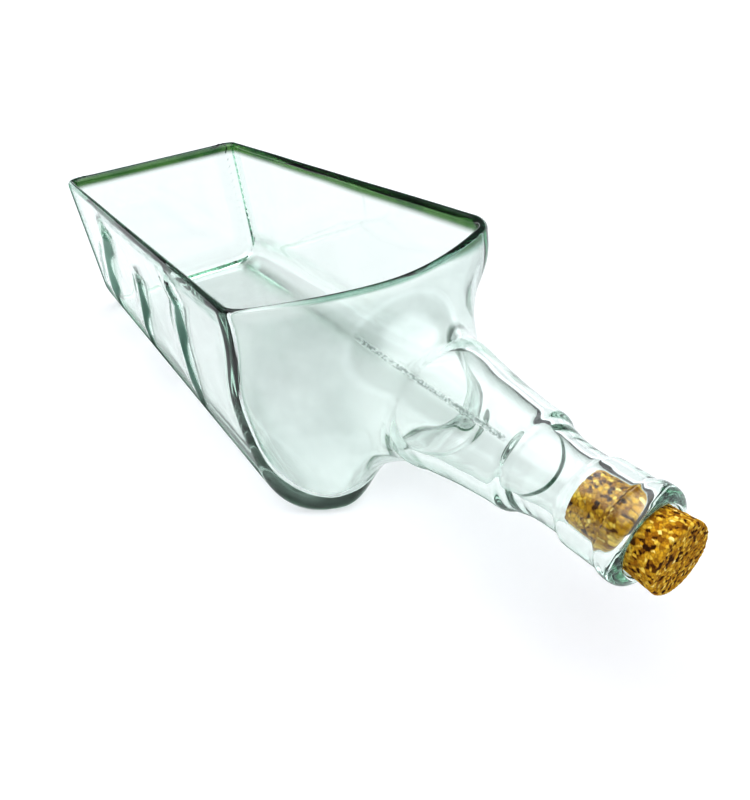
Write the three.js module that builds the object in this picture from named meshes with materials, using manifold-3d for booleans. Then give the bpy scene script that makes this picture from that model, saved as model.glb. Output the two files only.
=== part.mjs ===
// Bottle planter: a glass spirits bottle of rounded rectangular section that lies on a broad
// side. The upward side is cut away level, which leaves an open trough with a flat ground rim.
// The whole neck stays on, and a tapered cork is pushed part-way into the mouth.
// Millimetres, +Z up, +X towards the mouth. The origin is on the table, at the middle of the
// outline that the bottle and its cork cover.

import * as THREE from 'three';
import { mergeVertices } from 'three/addons/utils/BufferGeometryUtils.js';
import Module from 'manifold-3d';

// ---------------------------------------------------------------- driving dimensions
const BODY_HALF_WIDTH = 44.2;     // half of the body across, along Y
const BODY_HALF_DEPTH = 33.7;     // neck axis above the table
const RAISE = 10;                 // how much more the body reaches above the axis than below
const CORNER_UPPER = 9;           // corner radius of the body section above the cut
const CORNER_LOWER = 14;          // corner radius of the body section beside the table
const BODY_LENGTH = 213;          // base to the corner where the shoulder starts
const RIM_HEIGHT = 66;            // height of the cut above the table
const WALL = 4.0;                 // side walls and floor
const BASE_THICK = 8;             // base wall
const PUSH_UP = 2.4;              // hollow of the base
const SHOULDER_CROWN = 14.6;      // how far the shoulder wall bulges at its middle
const SHOULDER_TILT = 0.1;        // lean of the shoulder wall, forward towards the table
const SIDE_CHEEK = 13;            // hollow of the shoulder half-way up each side
const FLOOR_CHEEK = 16;           // hollow of the shoulder at the middle of the floor
const SHOULDER_EDGE = 10;         // rounding where the shoulder wall meets the body
const SHOULDER_WALL = 3.3;        // glass in the shoulder wall
const NECK_ROOT_R = 18.6;         // neck radius at its root
const NECK_FILLET = 12;           // fillet from the shoulder wall into the neck
const NECK_LENGTH = 92.3;         // shoulder corner to the face of the mouth
const CORK_LENGTH = 21;           // cork, end to end
const CORK_OUT = 6;               // how far the cork stands out of the mouth
const CORK_R_OUT = 8.2;           // cork radius at its outer end
const CORK_R_IN = 6.9;            // cork radius at its inner end
const CORK_CHAMFER = 0.6;         // softened edges of the cork

const AXIS_Z = BODY_HALF_DEPTH;                                   // height of the neck axis
const TOTAL = BODY_LENGTH + NECK_LENGTH + CORK_OUT;               // base to cork end
const SHIFT = BODY_LENGTH - TOTAL / 2;                            // shoulder corner along X

// ---------------------------------------------------------------- section outline
// Directions in one quarter at which every section is sampled. They lie closer together
// where the corner arc of the body is.
const QUARTER = [0, 10, 19, 24, 28, 31.5, 35, 38, 41, 44, 48, 54, 65, 77];
const ANGLES = [];
for (let q = 0; q < 4; q++) {
  const list = q % 2 === 0 ? QUARTER : [0, ...QUARTER.slice(1).map((d) => 90 - d).reverse()];
  for (const d of list) ANGLES.push(THREE.MathUtils.degToRad(q * 90 + d));
}

// Distance from the neck axis to the outline of a rounded rectangle, in direction t.
// up and low are the corner radii above and below the axis.
function reach(a, b, up, low, t) {
  const above = Math.sin(t) >= 0;
  const c = Math.abs(Math.cos(t)), s = Math.abs(Math.sin(t));
  const h = above ? b + RAISE : b;
  const r = Math.min(above ? up : low, a, h);
  const ca = a - r, cb = h - r;
  if (c > 1e-9) {
    const k = a / c;
    if (k * s <= cb + 1e-9) return k;
  }
  if (s > 1e-9) {
    const k = h / s;
    if (k * c <= ca + 1e-9) return k;
  }
  const p = ca * c + cb * s;
  return p + Math.sqrt(Math.max(0, p * p - (ca * ca + cb * cb - r * r)));
}

// How deep a point lies inside the rounded rectangle.
function depth(a, b, up, low, y, z) {
  const h = z < 0 ? b : b + RAISE;
  const r = Math.min(z < 0 ? low : up, a, h);
  const u = Math.abs(y) - (a - r), v = Math.abs(z) - (h - r);
  const d = Math.hypot(Math.max(u, 0), Math.max(v, 0)) + Math.min(Math.max(u, v), 0) - r;
  return Math.max(0, -d);
}

// A flat ring of points: a rounded rectangle across the bottle at x.
const flat = (x, a, b, up, low) => ANGLES.map((t) => {
  const k = reach(a, b, up, low, t);
  return [x, k * Math.cos(t), k * Math.sin(t)];
});
const round = (x, r) => ANGLES.map((t) => [x, r * Math.cos(t), r * Math.sin(t)]);

// Bulge of the shoulder wall at y: full at the middle, nothing near the corners.
const bulge = (y) => {
  const f = (q) => (q + 0.03) ** 0.8;
  return SHOULDER_CROWN * (1 - (f((y / 41) ** 2) - f(0)) / (f(1) - f(0)));
};

// Hollows of the shoulder, where its wall turns in earlier: half-way up each side, and at the
// middle of the floor.
const { smoothstep } = THREE.MathUtils;
const cheek = (y, z) => {
  const w = Math.abs(z + 4) < 32 ? 0.5 * (1 + Math.cos((Math.PI * (z + 4)) / 32)) : 0;
  const side = smoothstep(Math.abs(y), 22, 39) * w;
  const floor = (1 - smoothstep(Math.abs(y), 4, 29)) * smoothstep(-z, 14, 32);
  return SIDE_CHEEK * side + FLOOR_CHEEK * floor;
};

// Place along the bottle of the shoulder wall at y and z: crowned across, leaning forward
// towards the table, hollow at the sides, rounded over at its edge and filleted into the neck.
function shoulderX(o, y, z) {
  const lean = SHOULDER_TILT * (RIM_HEIGHT - AXIS_Z - z);
  const d = Math.min(depth(o.a, o.b, o.up, o.low, y, z), o.edge);
  const drop = o.edge - Math.sqrt(Math.max(0, o.edge ** 2 - (o.edge - d) ** 2));
  const f = Math.min(Math.max(Math.hypot(y, z) - o.root, 0), o.fillet);
  const rise = o.fillet - Math.sqrt(Math.max(0, o.fillet ** 2 - (o.fillet - f) ** 2));
  return bulge(y) + lean - cheek(y, z) - o.back - drop + rise;
}

// Rings from the end of the body, over the shoulder wall, to the root of the neck.
const SPREAD = [0, 0.012, 0.04, 0.09, 0.16, 0.26, 0.38, 0.5, 0.62, 0.73, 0.83, 0.91, 0.965, 1];
const shoulder = (o) => SPREAD.map((s) => ANGLES.map((t) => {
  const k = THREE.MathUtils.lerp(reach(o.a, o.b, o.up, o.low, t), o.root, s);
  const y = k * Math.cos(t), z = k * Math.sin(t);
  return [shoulderX(o, y, z), y, z];
}));

// A closed solid through a row of rings, with a fan over each end.
function loft(rings) {
  const n = ANGLES.length, pos = [], idx = [];
  for (const ring of rings) for (const [x, y, z] of ring) pos.push(x + SHIFT, y, z + AXIS_Z);
  for (let i = 0; i + 1 < rings.length; i++) {
    for (let j = 0; j < n; j++) {
      const p = i * n + j, q = i * n + ((j + 1) % n);
      idx.push(p, q, q + n, p, q + n, p + n);
    }
  }
  const first = pos.length / 3, last = first + 1, end = (rings.length - 1) * n;
  pos.push(rings[0][0][0] + SHIFT, 0, AXIS_Z);
  pos.push(rings[rings.length - 1][0][0] + SHIFT, 0, AXIS_Z);
  for (let j = 0; j < n; j++) {
    const k = (j + 1) % n;
    idx.push(first, k, j);
    idx.push(last, end + j, end + k);
  }
  const g = new THREE.BufferGeometry();
  g.setAttribute('position', new THREE.Float32BufferAttribute(pos, 3));
  g.setIndex(idx);
  return g;
}

const L = BODY_LENGTH, A = BODY_HALF_WIDTH, B = BODY_HALF_DEPTH;
const body = (x, inset, up, low) => flat(x, A - inset, B - inset, up, low);

// Outside of the bottle: hollow base, heel, body, shoulder, neck, collar, finish ring, lip.
const OUTER = [
  flat(-L + PUSH_UP, A * 0.3, B * 0.3, 5, 7),
  flat(-L + PUSH_UP * 0.8, A * 0.58, B * 0.58, 6, 8),
  body(-L + PUSH_UP * 0.25, 7.5, 6.5, 9.5),
  body(-L, 4.6, 7.4, 11),
  body(-L + 0.7, 2.6, 8.2, 12.3),
  body(-L + 2.2, 1.1, 8.6, 13.2),
  body(-L + 5, 0.2, 8.9, 13.9),
  body(-L + 8, 0, CORNER_UPPER, CORNER_LOWER),
  body(-38, 0, CORNER_UPPER, CORNER_LOWER),
  ...shoulder({ a: A, b: B, up: CORNER_UPPER, low: CORNER_LOWER, edge: SHOULDER_EDGE, back: 0, root: NECK_ROOT_R, fillet: NECK_FILLET }),
  round(31, 17.75),
  round(35, 17.0),
  round(40, 16.0),
  round(46, 14.85),
  round(52, 14.0),
  round(56, 13.55),
  round(58.2, 13.3),
  round(59.8, 12.95),
  round(61.5, 12.45),
  round(63.2, 12.0),
  round(65.4, 11.3),
  round(67.4, 10.5),
  round(70, 10.05),
  round(74.6, 9.85),
  round(76.2, 10.0),
  round(77.4, 10.45),
  round(78.6, 10.9),
  round(80.4, 11.05),
  round(82.4, 10.95),
  round(84.4, 10.6),
  round(86, 10.25),
  round(86.9, 10.25),
  round(87.7, 10.6),
  round(88.9, 10.95),
  round(90.2, 10.85),
  round(91.2, 10.35),
  round(92, 9.5),
  round(NECK_LENGTH, 8.8),
];

// Inside of the bottle, from the inner face of the base to past the mouth.
const a = A - WALL, b = B - WALL;
const inside = (x, inset, up, low) => flat(x, a - inset, b - inset, up, low);
const INNER = [
  flat(-L + BASE_THICK + 0.6, a * 0.55, b * 0.55, 6, 8),
  inside(-L + BASE_THICK, 6, 5.5, 8),
  inside(-L + BASE_THICK + 0.9, 2.6, 6, 9.4),
  inside(-L + BASE_THICK + 3, 0.8, 6.4, 10.6),
  inside(-L + BASE_THICK + 6, 0, 6.6, 11.2),
  inside(-42, 0, 6.6, 11.2),
  ...shoulder({ a, b, up: 6.6, low: 11.2, edge: 8.5, back: SHOULDER_WALL, root: 15.5, fillet: 13 }),
  round(31.5, 14.4),
  round(40, 12.6),
  round(50, 10.9),
  round(58, 9.5),
  round(64, 8.3),
  round(69, 7.45),
  round(74, 7.25),
  round(78, 7.3),
  round(84, 7.65),
  round(90, 8.03),
  round(NECK_LENGTH, 8.4),
  round(NECK_LENGTH + 3, 8.4),
];

// ---------------------------------------------------------------- cuts
const wasm = await Module();
wasm.setup();

function solid(geometry) {
  let g = geometry.clone();
  g.deleteAttribute('normal');
  g.deleteAttribute('uv');
  g = mergeVertices(g, 1e-4);
  return new wasm.Manifold(new wasm.Mesh({
    numProp: 3,
    vertProperties: new Float32Array(g.attributes.position.array),
    triVerts: new Uint32Array(g.index.array),
  }));
}

function geometry(manifold) {
  const m = manifold.getMesh();
  const g = new THREE.BufferGeometry();
  g.setAttribute('position', new THREE.BufferAttribute(new Float32Array(m.vertProperties), 3));
  g.setIndex(new THREE.BufferAttribute(new Uint32Array(m.triVerts), 1));
  g.computeVertexNormals();
  return g;
}

const above = new THREE.BoxGeometry(420, 200, 60);
above.translate(0, 0, RIM_HEIGHT + 30);

const glass = solid(loft(OUTER)).subtract(solid(loft(INNER))).subtract(solid(above));

// ---------------------------------------------------------------- cork
// A tapered plug with softened edges, turned about the neck axis.
const c = CORK_CHAMFER;
const profile = [
  new THREE.Vector2(0, 0),
  new THREE.Vector2(CORK_R_IN - c, 0),
  new THREE.Vector2(CORK_R_IN, c),
  new THREE.Vector2(CORK_R_OUT, CORK_LENGTH - c),
  new THREE.Vector2(CORK_R_OUT - c, CORK_LENGTH),
  new THREE.Vector2(0, CORK_LENGTH),
];
const corkGeometry = new THREE.LatheGeometry(profile, 40);
corkGeometry.rotateZ(-Math.PI / 2);

// ---------------------------------------------------------------- scene graph
const planter = new THREE.Group();

const glassTrough = new THREE.Mesh(
  geometry(glass),
  new THREE.MeshStandardMaterial({ color: 0xdfeee6, roughness: 0.04, metalness: 0, transparent: true, opacity: 0.35 }),
);
glassTrough.name = 'glass_trough';
planter.add(glassTrough);

const corkStopper = new THREE.Mesh(
  corkGeometry,
  new THREE.MeshStandardMaterial({ color: 0xb9803f, roughness: 0.9, metalness: 0 }),
);
corkStopper.name = 'cork_stopper';
corkStopper.position.set(SHIFT + NECK_LENGTH + CORK_OUT - CORK_LENGTH, 0, AXIS_Z);
planter.add(corkStopper);

export default planter;
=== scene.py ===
"""Bottle planter: a cut glass bottle on its side, with a cork in the mouth, on a pale floor.
Metres in Blender. The shape functions below work in millimetres, with x from the shoulder corner
towards the mouth, and y and z from the axis of the neck."""

import math

import bmesh
import bpy
import numpy as np
from mathutils import Matrix, Vector
from mathutils.kdtree import KDTree


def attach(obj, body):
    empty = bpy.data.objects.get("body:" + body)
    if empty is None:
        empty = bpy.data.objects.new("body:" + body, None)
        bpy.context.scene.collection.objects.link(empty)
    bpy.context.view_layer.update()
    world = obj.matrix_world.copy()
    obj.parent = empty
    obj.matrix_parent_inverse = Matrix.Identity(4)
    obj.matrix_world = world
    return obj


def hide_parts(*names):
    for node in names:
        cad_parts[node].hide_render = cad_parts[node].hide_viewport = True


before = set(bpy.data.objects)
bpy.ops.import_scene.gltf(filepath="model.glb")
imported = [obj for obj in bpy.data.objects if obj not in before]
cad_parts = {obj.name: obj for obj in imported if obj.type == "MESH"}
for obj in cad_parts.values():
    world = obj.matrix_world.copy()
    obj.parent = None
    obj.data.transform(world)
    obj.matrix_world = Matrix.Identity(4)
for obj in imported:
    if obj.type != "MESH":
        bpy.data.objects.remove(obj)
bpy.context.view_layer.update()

# ------------------------------------------------------------------ dimensions, in millimetres
SHIFT, AXIS_Z, RIM_Z = 57.35, 33.7, 66.0
A, B, RAISE = 44.2, 33.7, 10.0          # half width, half depth, extra depth above the axis
UP, LOW = 9.0, 14.0                     # corner radii of the body section
ROUND = 2.35                            # the corners ease in and out: a little squarer than plain arcs
L = 213.0                               # base to shoulder corner
WALL, BASE_THICK, PUSH_UP = 4.0, 8.0, 2.4
ROOT_R, ROOT_R_IN = 18.6, 14.8
MOUTH = 92.3
EDGE = 1.15                             # rounding of the polished rim
ZC = RIM_Z - AXIS_Z - EDGE              # where the walls end and the rim rounding starts

N_SIDE, N_ARC, N_FLOOR, N_TOP = 96, 44, 96, 190
N_BODY = 150


def smooth(x, lo, hi):
    t = np.clip((x - lo) / (hi - lo), 0.0, 1.0)
    return t * t * (3 - 2 * t)


# ------------------------------------------------------------------ section outline
def outline(a, b, low):
    """Closed row of (y, z): far rim, far side, floor, near side, near rim, then the top edge back."""
    s = np.linspace(0, 1, N_SIDE, endpoint=False)
    side = ZC + (-(b - low) - ZC) * s
    t = np.linspace(0, math.pi / 2, N_ARC, endpoint=False)
    c, q = np.cos(t) ** (2 / ROUND), np.sin(t) ** (2 / ROUND)
    f = np.linspace(0, 1, N_FLOOR, endpoint=False)
    y = [np.full(N_SIDE, a), a - low + low * c, (a - low) * (1 - 2 * f)]
    z = [side, -(b - low) - low * q, np.full(N_FLOOR, -b)]
    y.append(-(a - low) - low * q)
    z.append(-(b - low) - low * c)
    rise = np.append(side, -(b - low))[::-1]
    y.append(np.full(N_SIDE + 1, -a))
    z.append(rise)
    v = np.linspace(-1, 1, N_TOP + 2)[1:-1]
    y.append(a * (0.92 * np.sin(v * math.pi / 2) + 0.08 * v))
    z.append(np.full(N_TOP, ZC))
    return np.stack([np.concatenate(y), np.concatenate(z)], 1)


M = 2 * N_SIDE + 2 * N_ARC + N_FLOOR + 1     # columns of the trough, without the top edge
N = M + N_TOP


def depth(a, b, up, low, y, z):
    h = np.where(z < 0, b, b + RAISE)
    r = np.where(z < 0, low, up)
    u, v = np.abs(y) - (a - r), np.abs(z) - (h - r)
    far = (np.maximum(u, 0) ** ROUND + np.maximum(v, 0) ** ROUND) ** (1 / ROUND)
    d = far + np.minimum(np.maximum(u, v), 0) - r
    return np.maximum(0, -d)


# ------------------------------------------------------------------ shoulder wall
def bulge(y):
    f = lambda q: (q + 0.03) ** 0.8
    return 14.6 * (1 - (f((y / 41) ** 2) - f(0.0)) / (f(1.0) - f(0.0)))


def cheek(y, z):
    w = np.where(np.abs(z + 4) < 32, 0.5 * (1 + np.cos(np.pi * (z + 4) / 32)), 0)
    side = smooth(np.abs(y), 22, 39) * w
    floor = (1 - smooth(np.abs(y), 4, 29)) * smooth(-z, 14, 32)
    return 13 * side + 16 * floor


def shoulder_x(o, y, z):
    lean = 0.1 * (RIM_Z - AXIS_Z - z)
    edge = o["edge"] * (0.52 + 0.28 * smooth(y, -20, 20))      # the near edge is the tighter one
    d = np.minimum(depth(o["a"], o["b"], o["up"], o["low"], y, z), edge)
    drop = edge - np.sqrt(np.maximum(0, edge ** 2 - (edge - d) ** 2))
    f = np.clip(np.hypot(y, z) - o["root"], 0, o["fillet"])
    rise = o["fillet"] - np.sqrt(np.maximum(0, o["fillet"] ** 2 - (o["fillet"] - f) ** 2))
    return bulge(y) + lean - cheek(y, z) - o["back"] - drop + rise


TURN = np.linspace(0, math.pi / 2, 15)
SPREAD = np.concatenate([
    10 * (1 - np.cos(TURN)) / 25.6,
    [0.425, 0.46, 0.495],
    1 - (12 * (1 - np.cos(np.linspace(math.pi / 2, 0, 18)))) / 25.6,
])


# ------------------------------------------------------------------ base
HEEL = 1 - np.cos(np.linspace(0, math.pi / 2, 17)) ** (2 / 2.3)


def base_x(d, heel, rise):
    """Place of the base wall at depth d inside the outline: rounded heel, then a shallow hollow."""
    inset, high = heel
    u = np.clip(d / inset, 0, 1)
    turn = high * (1 - (1 - (1 - u) ** 2.3) ** (1 / 2.3))
    return turn + rise * smooth(d, inset, inset + 14)


# ------------------------------------------------------------------ neck profiles (x, radius)
def curve(points, step):
    """Points about step apart along a smooth line through the given points."""
    p = np.array(points, float)
    p = np.vstack([2 * p[0] - p[1], p, 2 * p[-1] - p[-2]])
    k = np.concatenate([[0], np.cumsum(np.linalg.norm(np.diff(p, axis=0), axis=1) ** 0.5)])
    out = []
    for i in range(1, len(p) - 2):
        n = max(2, int(round(np.linalg.norm(p[i + 1] - p[i]) / step)))
        for t in np.linspace(k[i], k[i + 1], n, endpoint=False):
            a1 = ((k[i] - t) * p[i - 1] + (t - k[i - 1]) * p[i]) / (k[i] - k[i - 1])
            a2 = ((k[i + 1] - t) * p[i] + (t - k[i]) * p[i + 1]) / (k[i + 1] - k[i])
            a3 = ((k[i + 2] - t) * p[i + 1] + (t - k[i + 1]) * p[i + 2]) / (k[i + 2] - k[i + 1])
            b1 = ((k[i + 1] - t) * a1 + (t - k[i - 1]) * a2) / (k[i + 1] - k[i - 1])
            b2 = ((k[i + 2] - t) * a2 + (t - k[i]) * a3) / (k[i + 2] - k[i])
            out.append(((k[i + 1] - t) * b1 + (t - k[i]) * b2) / (k[i + 1] - k[i]))
    out.append(p[-2])
    return np.array(out)


NECK_OUT = curve([
    (34, 17.2), (37, 16.6), (40, 16.0), (46, 14.85), (52, 14.0), (56, 13.5), (58.6, 13.3), (60.0, 13.18),
    (60.9, 12.9), (61.5, 12.45), (62.0, 12.0), (62.9, 11.65), (64.6, 11.2), (67.0, 10.5), (70, 10.05),
    (74.6, 9.85), (76.0, 9.9), (76.9, 10.3), (77.7, 10.72), (78.7, 10.86), (80.4, 10.88), (82.4, 10.87),
    (84.6, 10.86), (86.0, 10.82), (86.7, 10.80), (87.2, 10.95), (87.6, 11.2), (88.3, 11.42), (89.4, 11.48),
    (90.6, 11.36), (91.5, 10.9), (92.1, 9.9), (92.3, 8.9),
], 0.32)
NECK_IN = curve([
    (34, 13.87), (40, 12.6), (50, 10.9), (58, 9.5), (64, 8.3), (69, 7.45), (74, 7.25),
    (78, 7.3), (84, 7.65), (89, 7.95), (91, 8.08), (91.8, 8.25), (92.2, 8.5),
], 0.8)


# ------------------------------------------------------------------ mould seam
SEAM = math.radians(128)                # round the axis, from the far side over the top
SEAM_MASK = [None]


def seam(rows):
    """A fine stippled ridge along the neck and over the shoulder, where the halves of the mould met."""
    grid = np.array(rows)
    du = np.gradient(grid, axis=0)
    dv = np.roll(grid, -1, 1) - np.roll(grid, 1, 1)
    nrm = np.cross(du, dv)
    nrm /= np.maximum(1e-9, np.linalg.norm(nrm, axis=2))[:, :, None]
    ang, rad = np.arctan2(grid[:, :, 2], grid[:, :, 1]), np.hypot(grid[:, :, 1], grid[:, :, 2])
    outward = nrm[:, :, 1] * np.cos(ang) + nrm[:, :, 2] * np.sin(ang) + nrm[:, :, 0]
    nrm *= np.sign(outward)[:, :, None]
    off = np.abs((ang - SEAM) * rad)
    mask = (1 - smooth(off, 0.35, 0.8)) * smooth(grid[:, :, 0], 13, 15) * (1 - smooth(grid[:, :, 0], 58.5, 60.5))
    dots = np.random.default_rng(5).random(mask.shape)
    high = mask * (0.03 + 0.13 * dots)
    return list(grid + nrm * high[:, :, None]), mask


# ------------------------------------------------------------------ one surface of the glass
def sunk(y, z, o):
    """The broad face under the bottle is sunk a little, so that it stands on a band along each edge."""
    return 0.28 * smooth(o["b"] - 0.01 + z, 0.6, 0.0) * (1 - smooth(np.abs(y), 10, 27))


def surface(o, heel, base_at, base_rise, neck, knurl, wave):
    """Rings of points from the middle of the base to the mouth. Returns (base, body, shoulder, tail)."""
    pts = outline(o["a"], o["b"], o["low"])
    y0, z0 = pts[:, 0], pts[:, 1]
    run = np.concatenate([[0], np.cumsum(np.hypot(np.diff(y0), np.diff(z0)))])
    turn = np.arctan2(OUT_PTS[:, 1], OUT_PTS[:, 0])
    inset, high = heel
    d_list = list(inset * HEEL) + list(inset + np.array([0.6, 1.2, 1.8, 2.4, 3.0, 3.8, 5, 7, 10, 14, 18, 22]))
    base = []
    for d in reversed(d_list):
        s = d / 33.7
        y, z = y0 * (1 - s), z0 * (1 - s)
        dd = depth(o["a"], o["b"], o["up"], o["low"], y, z)
        x = base_at + base_x(dd, heel, base_rise)
        if knurl:
            band = smooth(dd, 0.7, 1.9) * (1 - smooth(dd, 5.4, 7.0))
            ridge = 0.5 + 0.5 * np.cos(2 * np.pi * (run - 14) / 4.15)
            ends = 0.15 + 0.85 * smooth(z0, -22, -12)
            ends[M:] = 0
            x = x + knurl * band * (1 - ridge ** 1.6 * ends)
        near, far, low = o["base"]
        base.append(np.stack([x, np.where(y < 0, y * near, y * far), np.where(z < 0, z * low, z)], 1))
    root = o["root"]
    shoulder = []
    for s in SPREAD:
        y = y0 * (1 - s) + root * np.cos(turn) * s
        z = z0 * (1 - s) + root * np.sin(turn) * s
        x = shoulder_x(o, y, z)
        near, far, low = (1 + (g - 1) * (1 - smooth(s, 0, 0.8)) for g in o["grow"])
        shoulder.append(np.stack([x, np.where(y < 0, y * near, y * far), np.where(z < 0, z * low, z)], 1))
    # body, between the two
    first, last = base[-1][:M], shoulder[0][:M]
    tang = np.gradient(pts[:M], axis=0)
    norm = np.stack([-tang[:, 1], tang[:, 0]], 1)
    norm /= np.linalg.norm(norm, axis=1)[:, None]
    norm *= -1
    body = []
    for k in np.linspace(0, 1, N_BODY + 2)[1:-1]:
        p = first * (1 - k) + last * k
        off = wave(p[:, 0], run[:M], p[:, 1], p[:, 2]) * smooth(k, 0, 0.06) * (1 - smooth(k, 0.94, 1))
        p = p.copy()
        p[:, 1:] += norm * off[:, None]
        p[:, 2] += sunk(p[:, 1], p[:, 2], o)
        body.append(p)
    # neck
    x_root = shoulder[-1][:, 0]
    r1 = neck[0][1]
    slope = (neck[1][1] - neck[0][1]) / (neck[1][0] - neck[0][0])
    tail = []
    for k in np.linspace(0, 1, 21)[1:-1]:
        dx = neck[0][0] - x_root
        h00, h01, h11 = 2 * k**3 - 3 * k**2 + 1, -2 * k**3 + 3 * k**2, k**3 - k**2
        r = h00 * root + h01 * r1 + h11 * slope * dx
        tail.append(np.stack([x_root + dx * k, r * np.cos(turn), r * np.sin(turn)], 1))
    for x, r in neck:
        tail.append(np.stack([np.full(N, x), r * np.cos(turn), r * np.sin(turn)], 1))
    if knurl:
        both, SEAM_MASK[0] = seam(shoulder + tail)
        shoulder, tail = both[:len(shoulder)], both[len(shoulder):]
    return base, body, shoulder, tail


OUT_PTS = outline(A, B, LOW)
O_OUT = dict(a=A, b=B, up=UP, low=LOW, edge=10.0, back=0.0, root=ROOT_R, fillet=12.0,
             base=(1, 1, 1), grow=(1, 1, 1))
O_IN = dict(a=A - WALL, b=B - WALL, up=6.6, low=15.0, edge=6.6, back=3.0, root=ROOT_R_IN, fillet=15.0,
            base=(41.7 / 40.2, 39.9 / 40.2, 30.5 / 29.7), grow=(41.2 / 40.2, 39.7 / 40.2, 30.5 / 29.7))   # near, far, low


def swell(x, u, rows):
    return sum(h * np.sin(x / lx + u / lu + ph) for h, lx, lu, ph in rows)


# folds in the near wall: lines of (x, z), half width and height
FOLDS = [
    ([(-143, 19), (-156, 7), (-166, -5), (-173, -17), (-173, -30)], 5.4, 1.8),
    ([(-163, 9), (-188, -9), (-199, -22)], 3.4, 0.8),
    ([(-98, 12), (-105.5, 1), (-112.6, -9), (-121, -24)], 3.4, 1.5),
    ([(-51, 25), (-46.5, 20), (-52, 12), (-55, 3.6), (-56.3, -6), (-58, -24)], 3.2, 1.45),
]


def line_offset(x, z, line):
    """Signed distance from a line on the wall, where a millimetre of height counts as three of length."""
    best, side = np.full(np.shape(x), 1e9), np.zeros(np.shape(x))
    for (x0, z0), (x1, z1) in zip(line[:-1], line[1:]):
        ex, ez = x1 - x0, 3 * (z1 - z0)
        t = np.clip(((x - x0) * ex + 3 * (z - z0) * ez) / (ex * ex + ez * ez), 0, 1)
        gx, gz = x - x0 - t * ex, 3 * (z - z0) - t * ez
        d = np.hypot(gx, gz)
        side = np.where(d < best, np.sign(gx), side)
        best = np.minimum(best, d)
    return best * side


def fold_at(x, z):
    """Height of the folds: steep towards the shoulder, easing off towards the base."""
    total = 0
    for line, width, high in FOLDS:
        d = line_offset(x, z, line)
        total = total + high * np.exp(-(d / np.where(d > 0, width, 2.6 * width)) ** 2)
    return total


# painted shade: dark green bands along the folds, for the dark lines their refraction shows
def fold_streak_shade(x, z):
    total = 0
    for line, width, high in FOLDS:
        d = line_offset(x, z, line) * (1.2 + 0.4 * np.sin(z / 4.6 + x / 13.0))
        strong = min(1, high / 1.2) * (0.89 + 0.11 * np.sin(z / 5.3 - x / 7.0))
        total = np.maximum(total, strong * smooth(d, -0.5 * width, 0.2 * width) * (1 - smooth(d, 1.1 * width, 2.0 * width)))
    return total


def wave_out(x, u, y, z):
    """Slightly uneven outside of the two long sides, with folds in the near one. The floor stays true."""
    side = smooth(z, -24, -8)
    slow = side * swell(x, u, [(0.07, 21.0, 60.0, 0.3), (0.05, 9.3, -47.0, 1.9), (0.04, 14.1, 29.0, 4.0)])
    slow = slow * (1 - 0.6 * smooth(-y, 30, 40))
    return slow - smooth(-y, 36, 43) * smooth(x, -207, -196) * smooth(z, -25, -10) * fold_at(x, z)


def wave_in(x, u, y, z):
    """Uneven inside of the moulded wall: slow swells."""
    slow = swell(x, u, [(0.20, 17.3, 61.0, 0.4), (0.14, -11.7, 33.0, 2.2), (0.10, 7.9, -45.0, 5.1), (0.10, 29.0, 13.0, 1.0)])
    return slow * (1 - 0.85 * smooth(-y, 30, 40))


# ------------------------------------------------------------------ build the glass mesh
verts, faces = [], []
count = 0


def add(points):
    global count
    start = count
    verts.append(points)
    count += len(points)
    return np.arange(start, count)


def strip(p, q, closed):
    n = len(p)
    j = np.arange(n if closed else n - 1)
    k = (j + 1) % n
    faces.append(np.stack([p[j], p[k], q[k], q[j]], 1))


def build(parts):
    base, body, shoulder, tail = parts
    rows = {"base": [add(r) for r in base], "body": [add(r) for r in body],
            "shoulder": [add(r) for r in shoulder], "tail": [add(r) for r in tail]}
    for key in ("base", "shoulder", "tail"):
        for p, q in zip(rows[key][:-1], rows[key][1:]):
            strip(p, q, True)
    open_rows = [rows["base"][-1][:M]] + rows["body"] + [rows["shoulder"][0][:M]]
    for p, q in zip(open_rows[:-1], open_rows[1:]):
        strip(p, q, False)
    strip(rows["shoulder"][-1], rows["tail"][0], True)
    loop = [rows["base"][-1][0]] + [r[0] for r in rows["body"]] + [rows["shoulder"][0][0]]
    loop += list(rows["shoulder"][0][M:][::-1]) + [rows["shoulder"][0][M - 1]]
    loop += [r[M - 1] for r in rows["body"][::-1]] + [rows["base"][-1][M - 1]]
    loop += list(rows["base"][-1][M:])
    return rows, np.array(loop)


out_parts = surface(O_OUT, (4.6, 8.0), -L, PUSH_UP, NECK_OUT, 0.52, wave_out)
in_parts = surface(O_IN, (6.0, 6.0), -L + BASE_THICK, 0.6, NECK_IN, 0, wave_in)
rows_out, loop_out = build(out_parts)
rows_in, loop_in = build(in_parts)
allv = np.concatenate(verts)
fans = []
for rows in (rows_out, rows_in):
    ring = rows["base"][0]
    mid = allv[ring].mean(0)
    fans.append((add(mid[None, :])[0], ring))
# polished rim: the walls draw in towards it, and it closes in half an ellipse. The rounding is deep on
# the far side and at the base, less on the near side, and small along the shoulder.
allv = np.concatenate(verts)
tri = np.concatenate(faces)
nrm = np.zeros_like(allv)
fn = np.cross(allv[tri[:, 2]] - allv[tri[:, 0]], allv[tri[:, 3]] - allv[tri[:, 1]])
for c in range(4):
    np.add.at(nrm, tri[:, c], fn)


def rounding(p):
    end = 1 - smooth(p[:, 0], -18, 4)
    return EDGE + end * (1.0 + 1.5 * smooth(p[:, 1], -30, 10) + 0.9 * (1 - smooth(p[:, 0], -212, -195)))


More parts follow.
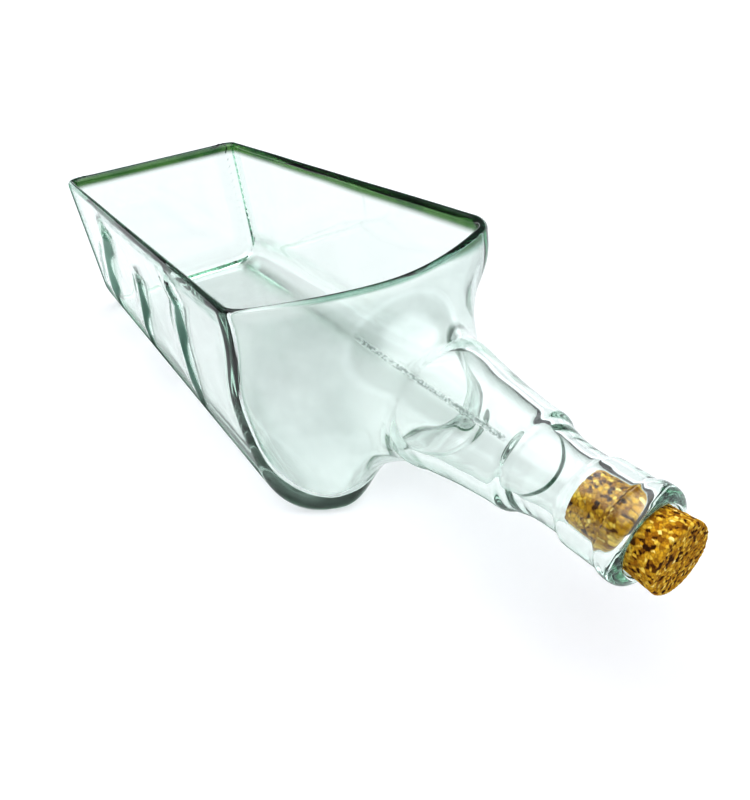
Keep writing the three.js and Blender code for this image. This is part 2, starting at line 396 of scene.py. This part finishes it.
deep = rounding(allv)
below = RIM_Z - AXIS_Z - allv[:, 2]
near_rim = below < deep
half = np.where(allv[:, 0] < -L + 14, 2.6, 1.9)
draw = half * (1 - np.sqrt(np.maximum(0, 1 - (1 - below / deep) ** 2)))
flat_n = nrm.copy()
flat_n[:, 2] = 0
flat_n /= np.maximum(1e-9, np.linalg.norm(flat_n, axis=1))[:, None]
is_out = np.zeros(len(allv), bool)
for rows in rows_out.values():
    for r in rows:
        is_out[r] = True
mid_x = -L / 2
outward = np.where(np.abs(allv[:, 1]) > 36, allv[:, 1] * flat_n[:, 1], (allv[:, 0] - mid_x) * flat_n[:, 0])
sign = np.where((outward > 0) == is_out, 1.0, -1.0)      # normals out of the glass
move = -flat_n * (sign * draw * near_rim)[:, None]
start = 0
for i, v in enumerate(verts):
    verts[i] = v + move[start:start + len(v)]
    start += len(v)
allv = np.concatenate(verts)
PO, PI = allv[loop_out], allv[loop_in]
deep_loop = rounding((PO + PI) / 2)
lift0 = np.arcsin(np.clip(1 - EDGE / deep_loop, 0, 1))
rim_rows = [loop_out]
for k in np.linspace(0, 1, 17)[1:-1]:
    th = lift0 + (math.pi - 2 * lift0) * k
    f = (1 - np.cos(th) / np.cos(lift0)) / 2
    p = PO * (1 - f)[:, None] + PI * f[:, None]
    p[:, 2] = RIM_Z - AXIS_Z - deep_loop * (1 - np.sin(th))
    rim_rows.append(add(p))
rim_rows.append(loop_in)
for p, q in zip(rim_rows[:-1], rim_rows[1:]):
    strip(p, q, True)
strip(rows_out["tail"][-1], rows_in["tail"][-1], True)

co = np.concatenate(verts)
co = (co + np.array([SHIFT, 0, AXIS_Z])) / 1000
quads = np.concatenate(faces)
tris = []
for mid, ring in fans:
    for j in range(N):
        tris.append((mid, ring[j], ring[(j + 1) % N]))


def new_mesh(name, co, polys):
    me = bpy.data.meshes.new(name)
    me.from_pydata([tuple(c) for c in co.tolist()], [], polys)
    bm = bmesh.new()
    bm.from_mesh(me)
    bmesh.ops.recalc_face_normals(bm, faces=bm.faces)
    bm.to_mesh(me)
    bm.free()
    me.polygons.foreach_set("use_smooth", np.ones(len(me.polygons), bool))
    me.update()
    return me


glass_mesh = new_mesh("glass_bottle", co, quads.tolist() + [tuple(int(i) for i in t) for t in tris])
glass = bpy.data.objects.new("glass_bottle", glass_mesh)
bpy.context.scene.collection.objects.link(glass)

# how much each point belongs to the cut rim, and how far across it from the outside: the material paints shade over
# the rim, dark green to black across it
z_rel = co[:, 2] * 1000 - AXIS_Z
far_side = smooth(co[:, 1] * 1000, 10, 34)
along_base = 1 - smooth(co[:, 0] * 1000 - SHIFT, -L + 8, -L + 16)
shoulder_end = smooth(co[:, 0] * 1000 - SHIFT, -24, 2)
rim_deep = 3.2 + 2.4 * np.maximum(far_side, along_base) - 1.6 * shoulder_end * (1 - far_side)
near_fade = smooth(-co[:, 1] * 1000, 20, 38) * smooth(co[:, 0] * 1000 - SHIFT, -150, -45)
rim_deep -= 1.3 * near_fade
rim_amount = smooth(z_rel, RIM_Z - AXIS_Z - rim_deep, RIM_Z - AXIS_Z - 0.5 * rim_deep)
rim_amount = (rim_amount * (1 - 0.55 * near_fade)).astype(np.float32)
across = np.zeros(len(co), np.float32)
for rows in rows_in.values():
    for r in rows:
        across[r] = 1.0
for i, r in enumerate(rim_rows):
    across[r] = 0.5 * (1 - math.cos(math.pi * i / (len(rim_rows) - 1)))
# painted shade mask: where it is 1, the material darkens the glass to dark green where it is seen edge-on, and
# roughens it
bend = np.zeros(len(co), np.float32)          # 1 where the glass turns a corner or is round
for rows, o in ((rows_out, O_OUT), (rows_in, O_IN)):
    for r in rows["tail"]:
        y, z = co[r, 1] * 1000, co[r, 2] * 1000 - AXIS_Z
        bend[r] = 0.45 + 0.55 * smooth((-y - z) / np.hypot(y, z), 0.2, 1.1)
    for r, s in zip(rows["shoulder"], SPREAD):
        bend[r] = 0.34
    for r in rows["base"]:
        yy, zz = co[r, 1] * 1000, co[r, 2] * 1000 - AXIS_Z
        bend[r] = 1 - smooth(depth(o["a"], o["b"], o["up"], o["low"], yy, zz), 5, 9)
    arc = np.zeros(M)
    arc[N_SIDE - 4:N_SIDE + N_ARC + 4] = 1
    arc[M - (N_SIDE + N_ARC + 4):M - (N_SIDE - 4)] = 1
    arc = np.convolve(arc, np.ones(7) / 7, "same")
    for i, r in enumerate(rows["body"]):
        ends = max(1 - i / 5, 0.34 - (N_BODY - 1 - i) / 18, 0)
        bend[r] = np.maximum(arc, ends)
# painted shade: dark green streaks where the near wall is folded or turns under, along a strip near its top, and at
# the near heel
streak = np.zeros(len(co), np.float32)
px, py, pz = co[:, 0] * 1000 - SHIFT, co[:, 1] * 1000, co[:, 2] * 1000 - AXIS_Z
for r in rows_out["body"]:
    side = smooth(-py[r], 30, 40)
    turn = np.degrees(np.arctan2(np.maximum(0, -pz[r] - (B - LOW)), np.maximum(1e-6, -py[r] - (A - LOW))))
    under = smooth(turn, 4, 10) * (1 - smooth(turn, 34, 55)) * (py[r] < 0)
    wide = 0.62 + 0.38 * np.sin(px[r] / 13.0 + 0.8) * np.sin(px[r] / 31.0 + 2.0)
    strip_y = smooth(pz[r], 26.5, 28.0) * (1 - smooth(pz[r], 30.2, 31.0))
    grain = 0.5 + 0.5 * np.sin(px[r] / 5.1 + 3.0 * np.sin(pz[r] * 1.7)) * np.sin(px[r] / 2.3 + pz[r] * 2.9)
    top = strip_y * (0.16 + 0.30 * grain) * smooth(px[r], -170, -120)
    streak[r] = np.clip(np.maximum(side * fold_streak_shade(px[r], pz[r]), np.maximum(under * wide, side * top)), 0, 1)
for r in rows_out["base"]:                    # the heel on the near side
    d = depth(A, B, UP, LOW, py[r], pz[r])
    streak[r] = 0.75 * (1 - smooth(d, 0.5, 3.2)) * (py[r] < -20)
for i, r in enumerate(rows_out["body"][:8]):
    streak[r] = np.maximum(streak[r], 0.75 * (1 - i / 8) * smooth(-py[r], 30, 40))
scuff = np.zeros(len(co), np.float32)         # the face that it stands on is worn
for r in rows_out["body"] + rows_out["shoulder"]:
    scuff[r] = smooth(-pz[r], B - 4.5, B - 0.8)
# painted shade: the shoulder's base colour is greyed in soft mottled patches
haze = np.zeros(len(co), np.float32)          # faint unevenness over the shoulder
for r, s in zip(rows_out["shoulder"], SPREAD):
    haze[r] = smooth(s, 0.04, 0.2) * (1 - smooth(s, 0.8, 1.0))
ridge_mask = np.zeros(len(co), np.float32)
for r, m in zip(rows_out["shoulder"] + rows_out["tail"], SEAM_MASK[0]):
    ridge_mask[r] = m
for name, val in (("rim", rim_amount), ("across", across), ("bend", bend), ("streak", streak), ("seam", ridge_mask),
                  ("scuff", scuff), ("haze", haze)):
    attr = glass_mesh.attributes.new(name, "FLOAT", "POINT")
    attr.data.foreach_set("value", val)

# ------------------------------------------------------------------ cork
CORK_IN_X, CORK_OUT_X = MOUTH + 6 - 21, MOUTH + 6
rng = np.random.default_rng(11)
seeds = (rng.random((22000, 3)) - np.array([0.08, 0.5, 0.5])) * np.array([25.0, 20.0, 20.0])
seed_value = rng.random(len(seeds))
seed_lift = rng.random(len(seeds))


tree = KDTree(len(seeds))
for i, c in enumerate(seeds):
    tree.insert((c[0] * 0.9, c[1], c[2]), i)
tree.balance()


def grains(p):
    """Nearest granule centre at each point, and how much further the next one is."""
    idx = np.zeros(len(p), int)
    gap = np.zeros(len(p))
    for i, c in enumerate(p):
        (_, k, d0), (_, _, d1) = tree.find_n((c[0] * 0.9, c[1], c[2]), 2)
        idx[i] = k
        gap[i] = d1 - d0
    return idx, gap


def cork_shape():
    n = 300
    ang = np.linspace(0, 2 * math.pi, n, endpoint=False)
    length, r_in, r_out, c = 21.0, 6.9, 8.2, 0.55
    prof = []
    for r in np.linspace(0.25, r_in - c, 36):
        prof.append((0.0, r))
    for t in np.linspace(0, math.pi / 2, 5)[1:]:
        prof.append((c - c * math.cos(t), r_in - c + c * math.sin(t)))
    for x in np.linspace(c, length - c, 116)[1:]:
        prof.append((x, r_in + (r_out - r_in) * (x - c) / (length - 2 * c)))
    for t in np.linspace(0, math.pi / 2, 5)[1:]:
        prof.append((length - c + c * math.sin(t), r_out - c + c * math.cos(t)))
    for r in np.linspace(r_out - c, 0.25, 42)[1:]:
        prof.append((length, r))
    rings = []
    for x, r in prof:
        rings.append(np.stack([np.full(n, x), r * np.cos(ang), r * np.sin(ang)], 1))
    p = np.concatenate(rings)
    # outward directions
    prof = np.array(prof)
    tang = np.gradient(prof, axis=0)
    nx, nr = -tang[:, 1], tang[:, 0]
    ln = np.hypot(nx, nr)
    nx, nr = nx / ln, nr / ln
    nrm = np.concatenate([np.stack([np.full(n, nx[i]), nr[i] * np.cos(ang), nr[i] * np.sin(ang)], 1) for i in range(len(prof))])
    idx, gap = grains(p)
    crease = np.exp(-(gap / 0.11) ** 2)
    pit = (seed_value[idx] < 0.10) * smooth(gap, 0.05, 0.4)
    lift = 0.14 * (seed_lift[idx] - 0.5) * smooth(gap, 0.0, 0.3) - 0.07 * crease - 0.22 * pit
    p = p + nrm * lift[:, None]
    polys = []
    for i in range(len(prof) - 1):
        j = np.arange(n)
        k = (j + 1) % n
        polys.append(np.stack([i * n + j, (i + 1) * n + j, (i + 1) * n + k, i * n + k], 1))
    polys = np.concatenate(polys).tolist()
    last = (len(prof) - 1) * n
    mid0, mid1 = len(p), len(p) + 1
    p = np.vstack([p, [[0, 0, 0]], [[length, 0, 0]]])
    for j in range(n):
        k = (j + 1) % n
        polys.append([mid0, j, k])
        polys.append([mid1, last + k, last + j])
    i2, g2 = grains(p)
    return p, polys, seed_value[i2], np.exp(-(g2 / 0.10) ** 2)


cp, cpolys, cval, ccrease = cork_shape()
cp = (cp + np.array([CORK_IN_X + SHIFT, 0, AXIS_Z])) / 1000
cork_mesh = new_mesh("cork_plug", cp, cpolys)
cork = bpy.data.objects.new("cork_plug", cork_mesh)
bpy.context.scene.collection.objects.link(cork)
for name, val in (("grain", cval), ("crease", ccrease)):
    at = cork_mesh.attributes.new(name, "FLOAT", "POINT")
    at.data.foreach_set("value", val.astype(np.float32))


# ------------------------------------------------------------------ materials
def material(name):
    m = bpy.data.materials.new(name)
    m.use_nodes = True
    nt = m.node_tree
    nt.nodes.clear()
    return m, nt


def node(nt, kind, **values):
    n = nt.nodes.new(kind)
    for key, val in values.items():
        if key.startswith("_"):
            setattr(n, key[1:], val)
        else:
            n.inputs[key.replace("__", " ")].default_value = val
    return n


def ramp(nt, stops, interpolation="LINEAR"):
    n = nt.nodes.new("ShaderNodeValToRGB")
    n.color_ramp.interpolation = interpolation
    el = n.color_ramp.elements
    while len(el) < len(stops):
        el.new(0.5)
    for e, (pos, col) in zip(el, stops):
        e.position = pos
        e.color = (*col, 1)
    return n


def glass_material():
    m, nt = material("clear_bottle_glass")
    link = nt.links.new
    out = node(nt, "ShaderNodeOutputMaterial")
    b = node(nt, "ShaderNodeBsdfPrincipled")
    b.inputs["Base Color"].default_value = (0.985, 1.0, 0.99, 1)
    b.inputs["Transmission Weight"].default_value = 1.0
    b.inputs["IOR"].default_value = 1.5
    tc = node(nt, "ShaderNodeTexCoord")
    rim = node(nt, "ShaderNodeAttribute", _attribute_name="rim")
    fine = node(nt, "ShaderNodeTexNoise", Scale=60.0, Detail=3.0, Roughness=0.5)
    link(tc.outputs["Object"], fine.inputs["Vector"])
    rough = node(nt, "ShaderNodeMapRange")
    rough.inputs["From Min"].default_value = 0.35
    rough.inputs["From Max"].default_value = 0.75
    rough.inputs["To Min"].default_value = 0.0
    rough.inputs["To Max"].default_value = 0.018
    link(fine.outputs["Fac"], rough.inputs["Value"])
    more = node(nt, "ShaderNodeMath", _operation="MULTIPLY_ADD")
    more.inputs[1].default_value = 0.04
    link(rim.outputs["Fac"], more.inputs[0])
    link(rough.outputs["Result"], more.inputs[2])
    frost = node(nt, "ShaderNodeMath", _operation="MULTIPLY_ADD")
    frost.inputs[1].default_value = 0.3
    link(more.outputs[0], frost.inputs[2])
    soft = node(nt, "ShaderNodeMath", _operation="MULTIPLY_ADD")
    soft.inputs[1].default_value = 0.45
    link(frost.outputs[0], soft.inputs[2])
    worn = node(nt, "ShaderNodeAttribute", _attribute_name="scuff")
    wear = node(nt, "ShaderNodeMath", _operation="MULTIPLY_ADD")
    wear.inputs[1].default_value = 0.16
    link(worn.outputs["Fac"], wear.inputs[0])
    link(soft.outputs[0], wear.inputs[2])
    glance = node(nt, "ShaderNodeMath", _operation="MULTIPLY_ADD")
    glance.inputs[1].default_value = 0.32
    link(wear.outputs[0], glance.inputs[2])
    link(glance.outputs[0], b.inputs["Roughness"])
    acr = node(nt, "ShaderNodeAttribute", _attribute_name="across")
    drift = node(nt, "ShaderNodeTexNoise", Scale=45.0, Detail=3.0, Roughness=0.6)
    link(tc.outputs["Object"], drift.inputs["Vector"])
    shift = node(nt, "ShaderNodeMath", _operation="MULTIPLY_ADD")
    shift.inputs[1].default_value = 0.5
    shift.inputs[2].default_value = -0.25
    link(drift.outputs["Fac"], shift.inputs[0])
    place = node(nt, "ShaderNodeMath", _operation="ADD")
    link(shift.outputs[0], place.inputs[0])
    link(acr.outputs["Fac"], place.inputs[1])
    # painted shade on the cut rim: teal at the outer edge, black across the middle, dark green at the inner edge;
    # partly the green of the glass seen edge-on
    rim_shade_ramp = ramp(nt, [(0.0, (0.26, 0.46, 0.36)), (0.22, (0.06, 0.18, 0.12)), (0.40, (0.008, 0.05, 0.022)),
                     (0.6, (0.002, 0.016, 0.006)), (0.84, (0.003, 0.024, 0.006)), (0.95, (0.010, 0.055, 0.007)),
                     (1.0, (0.025, 0.10, 0.011))])
    link(place.outputs[0], rim_shade_ramp.inputs["Fac"])
    whole = node(nt, "ShaderNodeMix", _data_type="RGBA", _blend_type="MIX")
    link(rim.outputs["Fac"], whole.inputs[0])
    link(rim_shade_ramp.outputs["Color"], whole.inputs[7])
    # painted shade: where the glass turns a corner or is round, it is darkened towards dark green where it is seen
    # edge-on, for the dark outlines of thick curved glass; partly the green of thick glass
    facing = node(nt, "ShaderNodeLayerWeight", Blend=0.5)
    along = ramp(nt, [(0.0, (0.962, 0.970, 0.967)), (0.58, (0.948, 0.962, 0.956)), (0.78, (0.62, 0.75, 0.69)),
                      (0.92, (0.17, 0.30, 0.23)), (1.0, (0.03, 0.09, 0.055))])
    link(facing.outputs["Facing"], along.inputs["Fac"])
    bnd = node(nt, "ShaderNodeAttribute", _attribute_name="bend")
    clear = node(nt, "ShaderNodeMix", _data_type="RGBA", _blend_type="MIX")
    clear.inputs[6].default_value = (0.962, 0.970, 0.967, 1)
    link(bnd.outputs["Fac"], clear.inputs[0])
    link(along.outputs["Color"], clear.inputs[7])
    skim = node(nt, "ShaderNodeMapRange", _interpolation_type="SMOOTHSTEP")
    skim.inputs["From Min"].default_value = 0.66
    skim.inputs["From Max"].default_value = 0.92
    link(facing.outputs["Facing"], skim.inputs["Value"])
    skims = node(nt, "ShaderNodeMath", _operation="MULTIPLY")
    link(skim.outputs["Result"], skims.inputs[0])
    link(bnd.outputs["Fac"], skims.inputs[1])
    link(skims.outputs[0], glance.inputs[0])
    # painted shade: the streaks darken the base colour to dark green where the wall is seen at a slant, and roughen
    # it
    stk = node(nt, "ShaderNodeAttribute", _attribute_name="streak")
    graze = node(nt, "ShaderNodeMapRange", _interpolation_type="SMOOTHSTEP")
    graze.inputs["From Min"].default_value = 0.12
    graze.inputs["From Max"].default_value = 0.5
    link(facing.outputs["Facing"], graze.inputs["Value"])
    streak_darkening = node(nt, "ShaderNodeMath", _operation="MULTIPLY")
    link(stk.outputs["Fac"], streak_darkening.inputs[0])
    link(graze.outputs["Result"], streak_darkening.inputs[1])
    link(streak_darkening.outputs[0], soft.inputs[0])
    green = ramp(nt, [(0.0, (0.985, 1.0, 0.99)), (0.35, (0.60, 0.75, 0.69)), (0.7, (0.06, 0.17, 0.12)), (1.0, (0.008, 0.05, 0.03))])
    link(streak_darkening.outputs[0], green.inputs["Fac"])
    both = node(nt, "ShaderNodeMix", _data_type="RGBA", _blend_type="MULTIPLY")
    both.inputs[0].default_value = 1.0
    link(clear.outputs[2], both.inputs[6])
    link(green.outputs["Color"], both.inputs[7])
    sm = node(nt, "ShaderNodeAttribute", _attribute_name="seam")
    dots = node(nt, "ShaderNodeTexNoise", Scale=1300.0, Detail=1.0, Roughness=0.5)
    link(tc.outputs["Object"], dots.inputs["Vector"])
    # painted shade: dark grey dots along the mould seam, on its stippled ridge
    seam_dot_shade = ramp(nt, [(0.38, (0.22, 0.25, 0.24)), (0.52, (0.62, 0.66, 0.65)), (0.62, (0.95, 0.97, 0.96))])
    link(dots.outputs["Fac"], seam_dot_shade.inputs["Fac"])
    link(sm.outputs["Fac"], frost.inputs[0])
    seamed = node(nt, "ShaderNodeMix", _data_type="RGBA", _blend_type="MULTIPLY")
    link(sm.outputs["Fac"], seamed.inputs[0])
    link(both.outputs[2], seamed.inputs[6])
    link(seam_dot_shade.outputs["Color"], seamed.inputs[7])
    # painted shade: mottled grey over the shoulder
    hz = node(nt, "ShaderNodeAttribute", _attribute_name="haze")
    cloud = node(nt, "ShaderNodeTexNoise", Scale=42.0, Detail=5.0, Roughness=0.62)
    link(tc.outputs["Object"], cloud.inputs["Vector"])
    shoulder_shade_ramp = ramp(nt, [(0.32, (0.70, 0.735, 0.73)), (0.5, (0.82, 0.85, 0.845)), (0.68, (0.94, 0.955, 0.95))])
    link(cloud.outputs["Fac"], shoulder_shade_ramp.inputs["Fac"])
    shoulder_shaded = node(nt, "ShaderNodeMix", _data_type="RGBA", _blend_type="MULTIPLY")
    link(hz.outputs["Fac"], shoulder_shaded.inputs[0])
    link(seamed.outputs[2], shoulder_shaded.inputs[6])
    link(shoulder_shade_ramp.outputs["Color"], shoulder_shaded.inputs[7])
    link(shoulder_shaded.outputs[2], whole.inputs[6])
    # painted shade on the reflection: the specular tint goes dark green in the streaks
    streak_reflection_shade = node(nt, "ShaderNodeMix", _data_type="RGBA", _blend_type="MIX")
    streak_reflection_shade.inputs[6].default_value = (1, 1, 1, 1)
    streak_reflection_shade.inputs[7].default_value = (0.06, 0.16, 0.12, 1)
    link(streak_darkening.outputs[0], streak_reflection_shade.inputs[0])
    link(streak_reflection_shade.outputs[2], b.inputs["Specular Tint"])
    link(whole.outputs[2], b.inputs["Base Color"])
    wav = node(nt, "ShaderNodeTexNoise", Scale=38.0, Detail=1.5, Roughness=0.4)
    link(tc.outputs["Object"], wav.inputs["Vector"])
    bump = node(nt, "ShaderNodeBump", Strength=0.13, Distance=0.0012)
    link(wav.outputs["Fac"], bump.inputs["Height"])
    link(bump.outputs["Normal"], b.inputs["Normal"])
    vol = node(nt, "ShaderNodeVolumeAbsorption")
    vol.inputs["Color"].default_value = (0.85, 0.955, 0.905, 1)
    vol.inputs["Density"].default_value = 42.0
    link(b.outputs["BSDF"], out.inputs["Surface"])
    link(vol.outputs["Volume"], out.inputs["Volume"])
    return m


def cork_material():
    m, nt = material("agglomerated_cork")
    link = nt.links.new
    out = node(nt, "ShaderNodeOutputMaterial")
    b = node(nt, "ShaderNodeBsdfPrincipled")
    b.inputs["Specular IOR Level"].default_value = 0.12
    grain = node(nt, "ShaderNodeAttribute", _attribute_name="grain")
    crease = node(nt, "ShaderNodeAttribute", _attribute_name="crease")
    tc = node(nt, "ShaderNodeTexCoord")
    # the darkest tones fall on the sunk pits: painted shade there, over the cork's own darker granules
    col = ramp(nt, [(0.0, (0.04, 0.015, 0.002)), (0.13, (0.10, 0.04, 0.004)), (0.19, (0.36, 0.17, 0.010)),
                    (0.45, (0.53, 0.30, 0.020)), (0.75, (0.68, 0.44, 0.04)), (0.93, (0.80, 0.60, 0.12)),
                    (1.0, (0.88, 0.77, 0.36))])
    link(grain.outputs["Fac"], col.inputs["Fac"])
    speck = node(nt, "ShaderNodeTexNoise", Scale=900.0, Detail=4.0, Roughness=0.65)
    link(tc.outputs["Object"], speck.inputs["Vector"])
    sr = ramp(nt, [(0.30, (0.45, 0.36, 0.28)), (0.48, (1, 1, 1)), (0.75, (1.15, 1.12, 1.05))])
    link(speck.outputs["Fac"], sr.inputs["Fac"])
    mul = node(nt, "ShaderNodeMix", _data_type="RGBA", _blend_type="MULTIPLY")
    mul.inputs[0].default_value = 0.9
    link(col.outputs["Color"], mul.inputs[6])
    link(sr.outputs["Color"], mul.inputs[7])
    # painted shade in the creases between granules
    dark = node(nt, "ShaderNodeMix", _data_type="RGBA", _blend_type="MIX")
    fac = node(nt, "ShaderNodeMath", _operation="MULTIPLY")
    fac.inputs[1].default_value = 0.55
    link(crease.outputs["Fac"], fac.inputs[0])
    link(fac.outputs[0], dark.inputs[0])
    link(mul.outputs[2], dark.inputs[6])
    dark.inputs[7].default_value = (0.13, 0.045, 0.008, 1)
    link(dark.outputs[2], b.inputs["Base Color"])
    rr = node(nt, "ShaderNodeMapRange")
    rr.inputs["To Min"].default_value = 0.62
    rr.inputs["To Max"].default_value = 0.9
    link(speck.outputs["Fac"], rr.inputs["Value"])
    link(rr.outputs["Result"], b.inputs["Roughness"])
    bump = node(nt, "ShaderNodeBump", Strength=0.5, Distance=0.0002)
    link(speck.outputs["Fac"], bump.inputs["Height"])
    link(bump.outputs["Normal"], b.inputs["Normal"])
    link(b.outputs["BSDF"], out.inputs["Surface"])
    return m


def floor_material():
    m, nt = material("pale_floor")
    link = nt.links.new
    out = node(nt, "ShaderNodeOutputMaterial")
    b = node(nt, "ShaderNodeBsdfPrincipled")
    b.inputs["Specular IOR Level"].default_value = 0.0
    b.inputs["Roughness"].default_value = 0.9
    b.inputs["Emission Color"].default_value = (0.985, 0.99, 1.0, 1)
    b.inputs["Emission Strength"].default_value = 0.47       # a pale panel, lit a little from below
    tc = node(nt, "ShaderNodeTexCoord")
    no = node(nt, "ShaderNodeTexNoise", Scale=40.0, Detail=3.0)
    link(tc.outputs["Object"], no.inputs["Vector"])
    r = ramp(nt, [(0.3, (0.425, 0.427, 0.430)), (0.7, (0.441, 0.443, 0.446))])
    link(no.outputs["Fac"], r.inputs["Fac"])
    link(r.outputs["Color"], b.inputs["Base Color"])
    link(b.outputs["BSDF"], out.inputs["Surface"])
    return m


glass_mesh.materials.append(glass_material())
cork_mesh.materials.append(cork_material())

# ------------------------------------------------------------------ floor, light, camera
fm = bpy.data.meshes.new("floor")
fbm = bmesh.new()
bmesh.ops.create_grid(fbm, x_segments=8, y_segments=8, size=30.0)
fbm.to_mesh(fm)
fbm.free()
floor = bpy.data.objects.new("floor", fm)
bpy.context.scene.collection.objects.link(floor)
fm.materials.append(floor_material())
floor.location.z = -0.0002

HORIZON, ROOM, CEILING = 1.5, 0.20, 2.5
world = bpy.data.worlds.new("studio")

bpy.context.scene.world = world
world.use_nodes = True
wt = world.node_tree
wt.nodes.clear()
wl = wt.links.new
wout = node(wt, "ShaderNodeOutputWorld")
bg = node(wt, "ShaderNodeBackground")
wtc = node(wt, "ShaderNodeTexCoord")
split = node(wt, "ShaderNodeSeparateXYZ")
wl(wtc.outputs["Generated"], split.inputs[0])


def step(lo, hi, to_min, to_max):
    n = node(wt, "ShaderNodeMapRange", _interpolation_type="SMOOTHSTEP")
    for key, val in (("From Min", lo), ("From Max", hi), ("To Min", to_min), ("To Max", to_max)):
        n.inputs[key].default_value = val
    wl(split.outputs["Z"], n.inputs["Value"])
    return n


low_sky = step(0.10, 0.22, HORIZON, ROOM)          # pale at the horizon, then the darker room
high_sky = step(0.55, 0.80, 0.0, CEILING - ROOM)   # wide soft light overhead
total = node(wt, "ShaderNodeMath", _operation="ADD")
wl(low_sky.outputs["Result"], total.inputs[0])
wl(high_sky.outputs["Result"], total.inputs[1])
wl(total.outputs[0], bg.inputs["Strength"])
bg.inputs["Color"].default_value = (0.985, 0.99, 1.03, 1)
wl(bg.outputs["Background"], wout.inputs["Surface"])

# white backdrop round the floor, seen only by the camera, so that the studio ends in white in every view
dm = bpy.data.meshes.new("backdrop")
dbm = bmesh.new()
bmesh.ops.create_uvsphere(dbm, u_segments=64, v_segments=32, radius=12.0)
dbm.to_mesh(dm)
dbm.free()
dome = bpy.data.objects.new("backdrop", dm)
bpy.context.scene.collection.objects.link(dome)
dmat, dnt = material("white_backdrop")
dout = node(dnt, "ShaderNodeOutputMaterial")
dem = node(dnt, "ShaderNodeEmission", Strength=1.5)
dem.inputs["Color"].default_value = (0.985, 0.99, 1.0, 1)
dnt.links.new(dem.outputs["Emission"], dout.inputs["Surface"])
dm.materials.append(dmat)
dome.visible_diffuse = dome.visible_glossy = dome.visible_transmission = False
dome.visible_volume_scatter = dome.visible_shadow = False

cam_data = bpy.data.cameras.new("camera")
cam_data.sensor_fit = "AUTO"
cam_data.sensor_width = 36.0
cam_data.lens = 28.8
cam_data.clip_start = 0.005
cam_data.clip_end = 200
cam = bpy.data.objects.new("camera", cam_data)
bpy.context.scene.collection.objects.link(cam)
right = Vector((0.539783, 0.833932, -0.11566))
up = Vector((-0.410344, 0.380334, 0.828933))
back = Vector((0.735313, -0.399693, 0.547346))
rot = Matrix((right, up, back)).transposed().to_4x4()
cam.matrix_world = Matrix.Translation((0.200207, -0.083664, 0.130117)) @ rot
bpy.context.scene.camera = cam

sc = bpy.context.scene
sc.view_settings.view_transform = "Standard"
sc.view_settings.look = "None"
sc.view_settings.gamma = 0.74
sc.cycles.max_bounces = 56
sc.cycles.transmission_bounces = 52
sc.cycles.glossy_bounces = 16
sc.cycles.diffuse_bounces = 4
sc.cycles.use_denoising = True
sc.cycles.blur_glossy = 0.0
sc.cycles.sample_clamp_indirect = 0.0

# ------------------------------------------------------------------ hand over to the frame
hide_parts("glass_trough")
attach(glass, "bottle")
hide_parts("cork_stopper")
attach(cork, "cork")

bpy.context.view_layer.update()
